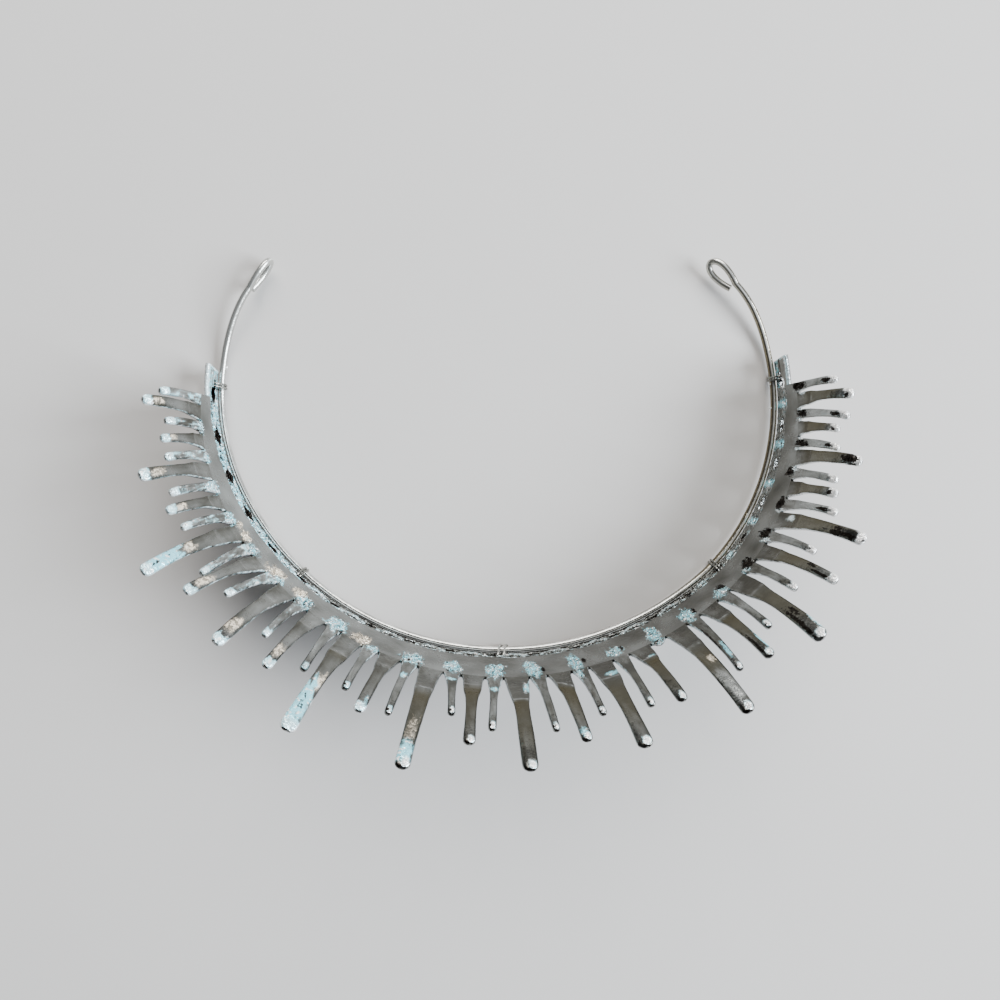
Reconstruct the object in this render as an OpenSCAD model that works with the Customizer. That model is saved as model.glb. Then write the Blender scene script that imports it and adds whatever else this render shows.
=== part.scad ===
// Fringe tiara in millimetres, standing on its lashings with the spikes up and +Z vertical.
// The origin is the centre of the head opening on the resting plane; the front is towards -Y.
// A place on the casting is a run s along the head wire and a height t up the curved wall.

/* [Head opening] */
// From the middle of the front to the centre of the opening
head_r = 68; // [64:1:74]
// Half the length of the casting, along the head wire
half_l = 109; // [104:0.5:114]

/* [Head wire] */
// Thickness of the head wire
wire_d = 1.6; // [1.3:0.1:1.9]
// Length of each bare arm
arm_l = 20.5; // [16:0.5:26]
// Rise of each arm from its foot to its loop
arm_rise = 2.9; // [2.8:0.1:5]
// Length of an end loop along its centre line
loop_l = 8; // [7:0.5:10]
// Bulge of an end loop to each side of its centre line
loop_bulge = 1.3; // [1:0.1:1.6]
// Outward lean of the right loop from upright
right_loop_lean = 40; // [0:5:50]

/* [Gallery] */
// Height of the pierced gallery
gallery_h = 6; // [5.6:0.1:6.6]
// Thickness of the wall
wall_t = 1; // [0.8:0.1:1.3]
// Height of the solid rail along the gallery's foot
rail_h = 1; // [0.8:0.1:1.2]
// Number of leaf motifs along the gallery
motif_count = 22; // [18:2:24]
// Length of the almond piercing between two motifs
almond_l = 3.8; // [2.6:0.2:4.4]
// Height of the almond piercing
almond_h = 1.7; // [1.2:0.1:2]
// Across the small piercing above the middle of a motif
bead_hole_d = 0.8; // [0.6:0.05:1]
// How far the leaves stand out of the wall
leaf_out = 0.35; // [0.2:0.05:0.5]
// From the middle of the head wire outward to the middle of the wall's foot
foot_out = 0.9; // [0.7:0.05:1.1]

/* [Collar] */
// Height of the valleys between the spikes at the middle
mid_valley = 16; // [14:0.5:17.5]
// Height of the valleys at the ends
end_valley = 9.5; // [8.5:0.5:11]
// Length of the square post at each end
post_l = 6.6; // [5.2:0.2:7]
// Height of the end posts
post_h = 6.9; // [6.6:0.1:8]

/* [Spikes] */
// From the middle of the last spike at each end to the end post
spike_margin = 1.2; // [1:0.1:2]
// Height of the tallest long spike, along its curve
long_h = 47; // [42:1:52]
// Height of the tallest medium spike, along its curve
medium_h = 37; // [34:1:42]
// Height of the tallest short spike, along its curve
short_h = 33; // [30:1:36]
// Width of a long spike at its root
long_root = 5.3; // [4.4:0.1:5.5]
// Width of a medium spike at its root
medium_root = 4.8; // [4:0.1:5]
// Width of a short spike at its root
short_root = 3.5; // [3:0.1:3.7]
// Width of a long spike near its tip
long_tip = 2.5; // [2:0.1:3]
// Width of a medium spike near its tip
medium_tip = 2; // [1.7:0.1:2.5]
// Width of a short spike near its tip
short_tip = 1.4; // [1.2:0.1:1.8]
// Thickness of the spikes near their tips
spike_t = 1.5; // [1.2:0.1:1.8]

/* [Flare] */
// Outward lean of the gallery
gallery_lean = 5; // [2:1:8]
// Outward lean of the collar and the foot of each spike
collar_lean = 14; // [10:1:18]
// Outward lean at the tips
tip_lean = 44; // [34:2:50]

/* [Lashings] */
// Thickness of the lashing wire
lash_d = 0.5; // [0.4:0.05:0.6]
// Turns of each lashing round the head wire and the rail
lash_turns = 2; // [1.5:0.5:2.5]

/* [Fits] */
// Clearance between two pieces
gap = 0.08; // [0.06:0.01:0.12]

/* [Hidden] */
base_z = lash_d + gap;
wire_z = base_z + wire_d / 2;
foot_t = wire_d + 1.25 * gap;
motif_l = 2 * half_l / (motif_count + 0.2);
motif_t = (foot_t + rail_h + gallery_h) / 2;
spike_span = half_l - post_l - spike_margin;
loop_end = wire_d + 2.5 * gap;
// A height that no spike reaches, for the parts of the wall that don't bend.
no_bend_t = 10 * long_h;

// Bends of the head wire from the middle to each side, the arm last.
// Columns: radius as a share of head_r, length as a share of half_l.
left_bends = [[1.093, 0.187], [1.013, 0.525], [0.8, 0.297], [0.609, 1]];
right_bends = [[1.093, 0.468], [0.662, 0.082], [0.86, 0.459], [0.525, 1]];

// Spikes from left to right, every fourth one in each table.
// Columns: height as a share of the kind's height, lean to the right in degrees.
long_rows = [
  [0.55, -4.7], [0.66, -2.3], [0.89, -0.1], [0.85, -1.5], [1.02, -1.5], [1, -1.7], [0.95, 1.4],
  [0.93, 2.4], [0.98, 0.2], [0.9, -0.7], [0.78, 1.8], [0.62, -0.8], [0.53, -1.3]
];
medium_rows = [
  [0.61, -2.7], [0.76, -3.7], [0.98, -5.4], [0.99, -2], [0.96, -3.8], [1.02, -0.1],
  [1.04, 4.1], [0.96, 4.3], [1.01, 1.5], [0.97, 1.2], [0.69, 1.9], [0.59, -3.1]
];
short_after_long = [
  [0.62, -4.7], [0.76, -2.1], [0.9, 1.3], [0.9, -1.8], [0.94, -2.5], [0.9, 4.1], [1.04, 4.6],
  [1.02, 2.3], [1.08, -1.2], [0.87, 1.5], [0.83, 2.1], [0.69, -5.8], [0.63, 0]
];
// The ninth row is the spike that is broken off: its height stays under the valleys.
short_before_long = [
  [0.64, -2.2], [0.69, -1.4], [0.81, -4.5], [0.86, -9], [0.96, 0.5], [1.02, -3.2], [1.01, -2.3],
  [0.97, 4.3], [0, 0], [0.94, 1.4], [0.82, 0.2], [0.74, -2.7], [0.73, -6.1]
];

// Outline of a spike from its root to its tip.
// Columns: share of the free length, share of the root's extra width, share of the tip's width,
// share of the way from the root's thickness to the tip's.
spike_rows = [
  [0, 1, 1, 0], [0.09, 0.8, 1, 0.3], [0.28, 0.48, 1, 0.6], [0.45, 0.12, 1, 0.8],
  [0.76, 0, 1, 1], [0.96, 0, 0.98, 1], [1, 0, 0.62, 0.2]
];

// Columns: place as a share of half_l, pitch of the turns as a share of lash_d,
// turns' slant gathered on the inner side (1) or spread evenly (0).
lashings = [
  [-0.968, 1.4, 0], [-0.505, 1.4, 0], [-0.023, 2.8, 1], [0.505, 1.4, 0], [0.963, 1.4, 0]
];

function degrees(rad) = rad * 180 / PI;

// Point and heading after a run d along a chain of bends that starts at the front.
function walk(bends, d, i = 0, x = 0, y = -head_r, h = 0) =
  let (
    r = bends[i][0] * head_r,
    run = bends[i][1] * half_l,
    last = i == len(bends) - 1,
    g = h + degrees((last || d <= run ? d : run) / r),
    nx = x + r * (sin(g) - sin(h)),
    ny = y + r * (cos(h) - cos(g))
  )
  last || d <= run ? [nx, ny, g] : walk(bends, d - run, i + 1, nx, ny, g);

function spot(s) =
  s >= 0 ? walk(right_bends, s) : let (p = walk(left_bends, -s)) [-p[0], p[1], -p[2]];
function along(s) = let (h = spot(s)[2]) [cos(h), sin(h), 0];
function outward(s) = let (h = spot(s)[2]) [sin(h), -cos(h), 0];
function place(s, o, z) = let (p = spot(s)) [p[0], p[1], z] + o * outward(s);

// Lean, outward reach and height at t for a spike that bends from crease_t to its end at tip_t.
function lean_at(t, crease_t = no_bend_t, tip_t = 2 * no_bend_t) =
  t < gallery_h ? gallery_lean :
  t < crease_t ? collar_lean : collar_lean + (tip_lean - collar_lean) * (t - crease_t) / (tip_t - crease_t);
function bend_r(crease_t, tip_t) = degrees((tip_t - crease_t) / (tip_lean - collar_lean));
function reach(t, crease_t = no_bend_t, tip_t = 2 * no_bend_t) =
  foot_out + sin(gallery_lean) * min(t, gallery_h)
  + sin(collar_lean) * max(0, min(t, crease_t) - gallery_h)
  + (t > crease_t ? bend_r(crease_t, tip_t) * (cos(collar_lean) - cos(lean_at(t, crease_t, tip_t))) : 0);
function rise(t, crease_t = no_bend_t, tip_t = 2 * no_bend_t) =
  base_z + cos(gallery_lean) * min(t, gallery_h)
  + cos(collar_lean) * max(0, min(t, crease_t) - gallery_h)
  + (t > crease_t ? bend_r(crease_t, tip_t) * (sin(lean_at(t, crease_t, tip_t)) - sin(collar_lean)) : 0);

// A point d outward of the wall's middle surface.
function wall_point(s, t, d) =
  let (a = lean_at(t)) place(s, reach(t) + d * cos(a), rise(t) - d * sin(a));

function valley(s) = end_valley + (mid_valley - end_valley) * (1 - pow(s / spike_span, 2));

// Closed skin over rings of equal length, each turning left about the way ahead.
module skin(rings) {
  n = len(rings[0]);
  m = len(rings);
  sides = [
    for (i = [0:m - 2])
      for (j = [0:n - 1])
        let (k = (j + 1) % n)
          each [[i * n + k, i * n + j, (i + 1) * n + j], [i * n + k, (i + 1) * n + j, (i + 1) * n + k]]
  ];
  caps = [[for (j = [0:n - 1]) j], [for (j = [0:n - 1]) m * n - 1 - j]];
  polyhedron(points = [for (r = rings) each r], faces = concat(sides, caps));
}

// Ring of n points of radius r round a path point, across the path's direction.
function tube_ring(p, dir, r, n) =
  let (
    d = dir / norm(dir),
    u = cross(d, abs(d[2]) > 0.9 ? [1, 0, 0] : [0, 0, 1]),
    a = u / norm(u),
    b = cross(d, a)
  )
  [for (k = [0:n - 1]) p + r * (cos(360 * k / n) * a + sin(360 * k / n) * b)];

// Wall of gallery and collar, stepped down to the posts at both ends.
module wall() {
  step_s = half_l - post_l;
  step_run = 0.3 * wall_t;
  count = 48;
  body = [for (i = [0:count]) -step_s + 2 * step_s * i / count];
  stops = concat([[-half_l, post_h], [-step_s - step_run, post_h]], [for (s = body) [s, valley(s)]],
    [[step_s + step_run, post_h], [half_l, post_h]]);
  h = wall_t / 2;
  skin([
    for (e = stops)
      let (s = e[0], top = e[1])
        [
          wall_point(s, foot_t, -h), wall_point(s, gallery_h, -h), wall_point(s, top, -h * 0.96),
          wall_point(s, top, h * 0.96), wall_point(s, gallery_h, h), wall_point(s, foot_t, h)
        ]
  ]);
}

// One spike, from inside the collar to its blunt tip. Towards the ends its tip widens by the share end_gain.
module spike(s0, tip_t, lean, root_w, tip_w, end_gain) {
  low = valley(s0);
  free = tip_t - low;
  crease_t = low + 0.3 * free;
  slim = pow(s0 / spike_span, 2);
  w0 = root_w * (1 - 0.34 * slim);
  w1 = tip_w * (1 + end_gain * slim);
  root_t = 0.72 * wall_t;
  stops = concat([[-wall_t / free, 1, 1, 0]], spike_rows);
  skin([
    for (e = stops)
      let (
        t = low + e[0] * free,
        s = s0 + (t - low) * tan(lean),
        a = lean_at(t, crease_t, tip_t),
        c = place(s, reach(t, crease_t, tip_t), rise(t, crease_t, tip_t)),
        w = (w1 * e[2] + (w0 - w1) * e[1]) / 2,
        d = (root_t + (spike_t - root_t) * e[3]) / 2,
        x = along(s) * w,
        y = (outward(s) * cos(a) - [0, 0, sin(a)]) * d
      )
      [c + x, c + 0.7 * x - y, c - 0.7 * x - y, c - x, c - 0.7 * x + y, c + 0.7 * x + y]
  ]);
}

module spikes(rows, first, tall, root_w, tip_w, end_gain) {
  for (i = [0:len(rows) - 1]) {
    v = (first + 4 * i - 26) / 25;
    s0 = spike_span * (1.134 * v - 0.134 * pow(v, 3));
    tip_t = rows[i][0] * tall;
    if (tip_t > valley(s0)) spike(s0, tip_t, rows[i][1], root_w, tip_w, end_gain);
  }
}

// Turns the wall's own directions at (s, t) into x along, y outward, z up the wall.
module on_wall(s, t) {
  p = spot(s);
  translate(wall_point(s, t, 0)) rotate([0, 0, p[2]]) rotate([lean_at(t), 0, 0]) children();
}

// Almond piercing, wide w and high h, through the wall.
module almond(w, h) {
  rotate([90, 0, 0])
    linear_extrude(height = 4 * wall_t, center = true)
      polygon([
        [-w / 2, 0], [-w / 5, h / 2], [w / 5, h / 2], [w / 2, 0], [w / 5, -h / 2], [-w / 5, -h / 2]
      ]);
}

module round_hole(d) {
  rotate([90, 0, 0]) cylinder(h = 4 * wall_t, d = d, center = true, $fn = 4);
}

// Four-sided bud, pointed to both sides of the wall.
module bud(r) {
  rotate([90, 0, 0]) {
    cylinder(h = r, r1 = 1.2 * r, r2 = 0, $fn = 4);
    mirror([0, 0, 1]) cylinder(h = r, r1 = 1.2 * r, r2 = 0, $fn = 4);
  }
}

// A leaf from (x0, z0) to (x1, z1), thicker at its first end and proud of both faces.
module leaf(x0, z0, x1, z1) {
  r = wall_t / 2 + leaf_out;
  hull() {
    translate([x0, 0, z0]) bud(r);
    translate([x1, 0, z1]) bud(0.72 * r);
  }
}

// Two leaves that spread from a bud, with the motif's middle at the origin.
module motif() {
  stem_x = 0.07 * motif_l;
  tip_x = 0.29 * motif_l;
  for (side = [-1, 1]) leaf(side * stem_x, -0.1 * gallery_h, side * tip_x, 0.13 * gallery_h);
  leaf(0, -0.17 * gallery_h, 0, 0.02 * gallery_h);
}

module motif_hole() {
  translate([0, 0, 0.16 * gallery_h]) round_hole(bead_hole_d);
}

// Opening in the wall that a lashing's turns pass through, just above the rail.
module lash_eye(row) {
  w = lash_turns * row[1] * lash_d + lash_d + 4 * gap;
  h = 2 * lash_d + 3 * gap;
  on_wall(row[0] * half_l, foot_t + rail_h + h / 2) cube([w, 4 * wall_t, h], center = true);
}

module cast_fringe() {
  n = motif_count / 2;
  color("silver")
    difference() {
      union() {
        wall();
        spikes(long_rows, 2, long_h, long_root, long_tip, -0.22);
        spikes(medium_rows, 4, medium_h, medium_root, medium_tip, -0.18);
        spikes(short_after_long, 3, short_h, short_root, short_tip, 0.14);
        spikes(short_before_long, 1, short_h, short_root, short_tip, 0.14);
        for (k = [1 - n:n - 1]) on_wall(k * motif_l, motif_t) motif();
      }
      for (k = [-n:n - 1]) on_wall((k + 0.5) * motif_l, 0.98 * motif_t) almond(almond_l, almond_h);
      for (k = [1 - n:n - 1]) on_wall(k * motif_l, motif_t) motif_hole();
      for (row = lashings) lash_eye(row);
    }
}

// Height of the wire's centre line along an arm, easing from the foot to the loop.
function arm_z(u) = wire_z + arm_rise * u * u * (3 - 2 * u);

module head_wire() {
  n = 48;
  run = half_l + wall_t;
  low = [for (i = [0:n]) let (s = -run + 2 * run * i / n) [s, wire_z]];
  left = [for (i = [0:7]) let (u = 1 - i / 8) [-run - u * arm_l, arm_z(u)]];
  right = [for (i = [1:8]) let (u = i / 8) [run + u * arm_l, arm_z(u)]];
  line = [for (e = concat(left, low, right)) place(e[0], 0, e[1])];
  far = run + arm_l;
  left_loop = loop_path(-far, [0, 0, 1]);
  lean_side = cos(right_loop_lean) * [0, 0, 1] + sin(right_loop_lean) * outward(far);
  right_loop = loop_path(far, lean_side);
  m = len(left_loop) - 1;
  path = concat([for (i = [0:m]) left_loop[m - i]], line, right_loop);
  last = len(path) - 1;
  color("gainsboro")
    skin([
      for (i = [0:last])
        tube_ring(path[i], path[min(i + 1, last)] - path[max(i - 1, 0)], wire_d / 2, 8)
    ]);
}

// Teardrop from a neck: out on the side given, round, and back beside the arm.
function loop_path(s, side) =
  let (p = place(s, 0, wire_z + arm_rise), f = along(s) * sign(s), n = 18)
  [
    for (i = [1:n])
      let (u = 360 * i / n)
        p + f * loop_l * (1 - cos(u)) / 2
        + side * (1.3 * loop_bulge * sin(u) * sin(u / 2) - loop_end * (1 - cos(u / 2)) / 2)
  ];

// Belt round the head wire and the rail in the plane across them: [outward, up] pairs.
belt_n = 12;
rail_mid = foot_t + rail_h / 2;
belt = [
  for (i = [0:belt_n - 1])
    let (
      a = 20 + 360 * i / belt_n,
      u = [cos(a), sin(a)],
      near = [0, wire_z] + (wire_d / 2 + gap + lash_d / 2) * u,
      far = [reach(rail_mid), rise(rail_mid)] + (norm([wall_t, rail_h]) / 2 + gap + lash_d / 2) * u
    )
    near * u > far * u ? near : far
];

// Share of a turn's pitch used up at belt point i.
function slant(i, gathered) =
  let (u = i / belt_n) gathered == 0 ? u : max(0, min(1, (u - 0.15) / 0.4));

module lashing(row) {
  pitch = row[1] * lash_d;
  last = floor(lash_turns * belt_n);
  path = [
    for (i = [0:last])
      let (
        k = i % belt_n,
        turn = floor(i / belt_n),
        s = row[0] * half_l + pitch * (turn + slant(k, row[2]) - lash_turns / 2)
      )
      place(s, belt[k][0], belt[k][1])
  ];
  color("silver")
    skin([
      for (i = [0:last])
        tube_ring(path[i], path[min(i + 1, last)] - path[max(i - 1, 0)], lash_d / 2, 5)
    ]);
}

module left_end_lashing() lashing(lashings[0]);
module left_lashing() lashing(lashings[1]);
module front_lashing() lashing(lashings[2]);
module right_lashing() lashing(lashings[3]);
module right_end_lashing() lashing(lashings[4]);

cast_fringe();
head_wire();
left_end_lashing();
left_lashing();
front_lashing();
right_lashing();
right_end_lashing();
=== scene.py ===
import math
import bpy
import numpy as np
from mathutils import Matrix, Vector, noise


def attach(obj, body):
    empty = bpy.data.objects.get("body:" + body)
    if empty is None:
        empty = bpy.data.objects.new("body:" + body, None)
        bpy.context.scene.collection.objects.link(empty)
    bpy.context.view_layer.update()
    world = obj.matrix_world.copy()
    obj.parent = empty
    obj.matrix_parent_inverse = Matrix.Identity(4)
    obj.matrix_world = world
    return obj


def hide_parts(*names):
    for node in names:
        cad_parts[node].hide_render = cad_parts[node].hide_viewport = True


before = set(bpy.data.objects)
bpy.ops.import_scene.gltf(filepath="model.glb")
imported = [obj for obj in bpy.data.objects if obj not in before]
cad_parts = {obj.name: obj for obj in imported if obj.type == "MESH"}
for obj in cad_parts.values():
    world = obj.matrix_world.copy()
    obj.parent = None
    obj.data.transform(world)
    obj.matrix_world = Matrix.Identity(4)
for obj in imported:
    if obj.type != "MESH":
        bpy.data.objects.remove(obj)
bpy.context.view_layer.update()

print("the packed frame is in")

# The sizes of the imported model, in millimetres and degrees.
tiara = {
    "headRadius": 68.0,
    "halfLength": 109.0,
    # Bends of the head wire from the front: radius and length, as shares of the two sizes above.
    "leftBends": [(1.093, 0.187), (1.013, 0.525), (0.8, 0.297), (0.609, 1)],
    "rightBends": [(1.093, 0.468), (0.662, 0.082), (0.86, 0.459), (0.525, 1)],
    "wireThickness": 1.6,
    "lashThickness": 0.5,
    "gap": 0.08,
    "footOut": 0.9,
    "galleryHeight": 6.0,
    "wallThickness": 1.0,
    "galleryLean": 5.0,
    "collarLean": 14.0,
    "midValley": 16.0,
    "endValley": 9.5,
    "postLength": 6.6,
    "postHeight": 6.9,
    "spikeMargin": 1.2,
}
baseZ = tiara["lashThickness"] + tiara["gap"]
wireRadius = tiara["wireThickness"] / 2
lashRadius = tiara["lashThickness"] / 2
wireZ = baseZ + wireRadius
spikeSpan = tiara["halfLength"] - tiara["postLength"] - tiara["spikeMargin"]
footT = tiara["wireThickness"] + 1.25 * tiara["gap"]


def unit(values):
    # Values held between 0 and 1.
    return np.clip(values, 0, 1)


def hill(distance, width):
    # 1 at distance 0, falling off smoothly on both sides.
    return np.exp(-(distance / width) ** 2)


# The head wire's line

def bendPath(bends, runs):
    # Place and heading after each run along a chain of bends that starts at the front.
    x, y, h, start = 0.0, -tiara["headRadius"], 0.0, 0.0
    out = np.zeros((len(runs), 3))
    for radiusShare, lengthShare in bends:
        r = radiusShare * tiara["headRadius"]
        length = lengthShare * tiara["halfLength"]
        g = h + (runs - start) / r
        spots = np.stack([x + r * (np.sin(g) - math.sin(h)), y + r * (math.cos(h) - np.cos(g)), g], 1)
        here = runs >= start
        out[here] = spots[here]
        g = h + length / r
        x += r * (math.sin(g) - math.sin(h))
        y += r * (math.cos(h) - math.cos(g))
        h, start = g, start + length
    return out


def spot(s):
    # Place and heading at run s, counted from the front, to the left below 0.
    s = np.asarray(s, float)
    right = bendPath(tiara["rightBends"], np.maximum(s, 0))
    left = bendPath(tiara["leftBends"], np.maximum(-s, 0)) * [-1, 1, -1]
    return np.where((s >= 0)[:, None], right, left)


def place(s, out, z):
    # A point at run s along the head wire, a distance outward of it and a height.
    p = spot(s)
    return np.stack([p[:, 0] + out * np.sin(p[:, 2]), p[:, 1] - out * np.cos(p[:, 2]), z + 0 * p[:, 2]], 1)


# The wall's curve

def wallCurve(t):
    # Lean, outward reach and rise of the wall at height t, without a spike's bend.
    low, high = np.radians(tiara["galleryLean"]), np.radians(tiara["collarLean"])
    g = tiara["galleryHeight"]
    under, over = np.minimum(t, g), np.maximum(t - g, 0)
    lean = low + (high - low) * unit(t - g + 0.5)
    reach = tiara["footOut"] + math.sin(low) * under + math.sin(high) * over
    rise = baseZ + math.cos(low) * under + math.cos(high) * over
    return lean, reach, rise


def wallPoint(s, t, d):
    # A point on the wall, d outward of its middle.
    lean, reach, rise = wallCurve(t)
    return place(s, reach + d * np.cos(lean), rise - d * np.sin(lean))


def valley(s):
    # How high the collar reaches between the spikes.
    return tiara["endValley"] + (tiara["midValley"] - tiara["endValley"]) * (1 - (s / spikeSpan) ** 2)


# Small helpers for meshes

def ripple(points, size, seed, octaves=3):
    # Smooth noise at points in millimetres, with features of the given size, from about -1 to 1.
    shift = Vector((seed * 7.31, seed * 3.17, seed * 5.53))
    return np.array([noise.fractal(Vector(p) / size + shift, 1.0, 2.0, octaves) for p in points])


def makePiece(name, points, faces, material, node, zones):
    # A mesh object from points in millimetres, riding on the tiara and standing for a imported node.
    mesh = bpy.data.meshes.new(name)
    mesh.from_pydata([tuple(p) for p in np.asarray(points) * 0.001], [], faces)
    mesh.validate()
    for zoneName, values in zones.items():
        layer = mesh.attributes.new(zoneName, "FLOAT", "POINT")
        layer.data.foreach_set("value", np.asarray(values, dtype=np.float32))
    mesh.shade_smooth()
    piece = bpy.data.objects.new(name, mesh)
    bpy.context.scene.collection.objects.link(piece)
    mesh.materials.append(material)
    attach(piece, "root")
    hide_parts(node)
    print("made", name, "with", len(mesh.polygons), "faces")


def stripFaces(a, b, flip=False):
    # Quads between two equally long rows of vertex numbers.
    quads = [(a[i], a[i + 1], b[i + 1], b[i]) for i in range(len(a) - 1)]
    return [q[::-1] for q in quads] if flip else quads


# Materials

metals = {
    "castColour": (0.086, 0.085, 0.074),
    # paleColour: painted reflection and painted highlight.
    "paleColour": (0.44, 0.46, 0.455),
    "wireColour": (0.30, 0.30, 0.28),
    # bronzeColour: painted reflection on the right of the wire.
    "bronzeColour": (0.20, 0.165, 0.10),
    # oliveColour: painted reflection past the crease, and painted shade along the edges away from the light.
    "oliveColour": (0.072, 0.062, 0.036),
    # creamColour: painted reflection of the warm light.
    "creamColour": (0.96, 0.84, 0.66),
    # brightColour: painted reflection of the cool window light in the crumpled plating.
    "brightColour": (0.33, 0.80, 0.92),
    # glintColour: painted highlight.
    "glintColour": (1.0, 1.0, 0.99),
    # darkColour: painted shade and dark painted reflection.
    "darkColour": (0.020, 0.017, 0.014),
    # whiteColour: painted highlight on the wire.
    "whiteColour": (0.90, 0.90, 0.86),
    "castRoughness": 0.20,
    "wireRoughness": 0.20,
    "broadScale": 260.0,       # of the casting's noises, from clouds to grain
    "fineScale": 1500.0,
    "fleckScale": 2900.0,
    "grainScale": 5200.0,
    "facetScale": 2150.0,
    "facetSwirl": 0.0012,
    "frosting": 0.52,          # how much of the metal's mirror the crumpled places lose
    "foldStretch": 0.38,       # a low share makes long folds along the spikes
    # Painted highlight and dark painted reflection lines along the front of the wire: place across it from
    # -1 to 1, and half width.
    "darkReflectionLine": (-0.20, 0.24),
    "whiteLine": (0.10, 0.34),
    "edgeLine": (0.42, 0.20),
}


def toned(colour, factor):
    return tuple(factor * c for c in colour)


class Nodes:
    # Short hands for building a node tree.
    def __init__(self, name):
        self.material = bpy.data.materials.new(name)
        self.material.use_nodes = True
        self.tree = self.material.node_tree
        self.shader = self.tree.nodes["Principled BSDF"]

    def add(self, kind, inputs=None, **settings):
        node = self.tree.nodes.new(kind)
        for key, value in settings.items():
            setattr(node, key, value)
        for key, value in (inputs or {}).items():
            if isinstance(value, bpy.types.NodeSocket):
                self.tree.links.new(value, node.inputs[key])
            else:
                node.inputs[key].default_value = value
        return node

    def link(self, source, target):
        self.tree.links.new(source, self.shader.inputs[target])

    def zone(self, name):
        return self.add("ShaderNodeAttribute", attribute_name=name).outputs["Fac"]

    def noise(self, where, scale, detail, rough=0.55):
        node = self.add("ShaderNodeTexNoise", {
            "Vector": where, "Scale": scale, "Detail": detail, "Roughness": rough})
        return node.outputs["Fac"]

    def ramp(self, value, low, high):
        node = self.add("ShaderNodeMapRange", {
            "Value": value, "From Min": low, "From Max": high, "To Min": 0.0, "To Max": 1.0},
            interpolation_type="SMOOTHSTEP")
        return node.outputs["Result"]

    def maths(self, operation, a, b=0.0):
        return self.add("ShaderNodeMath", {0: a, 1: b}, operation=operation).outputs[0]

    def plus(self, a, b):
        return self.maths("ADD", a, b)

    def minus(self, a, b):
        return self.maths("SUBTRACT", a, b)

    def times(self, a, b):
        return self.maths("MULTIPLY", a, b)

    def larger(self, a, b):
        return self.maths("MAXIMUM", a, b)

    def mix(self, factor, a, b):
        a, b = (v if isinstance(v, bpy.types.NodeSocket) else (*v, 1.0) for v in (a, b))
        return self.add("ShaderNodeMix", {0: factor, 6: a, 7: b}, data_type="RGBA").outputs[2]

    def bump(self, height, strength, distance, under=None):
        inputs = {"Height": height, "Strength": strength, "Distance": distance}
        if under is not None:
            inputs["Normal"] = under
        return self.add("ShaderNodeBump", inputs).outputs[0]


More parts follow.
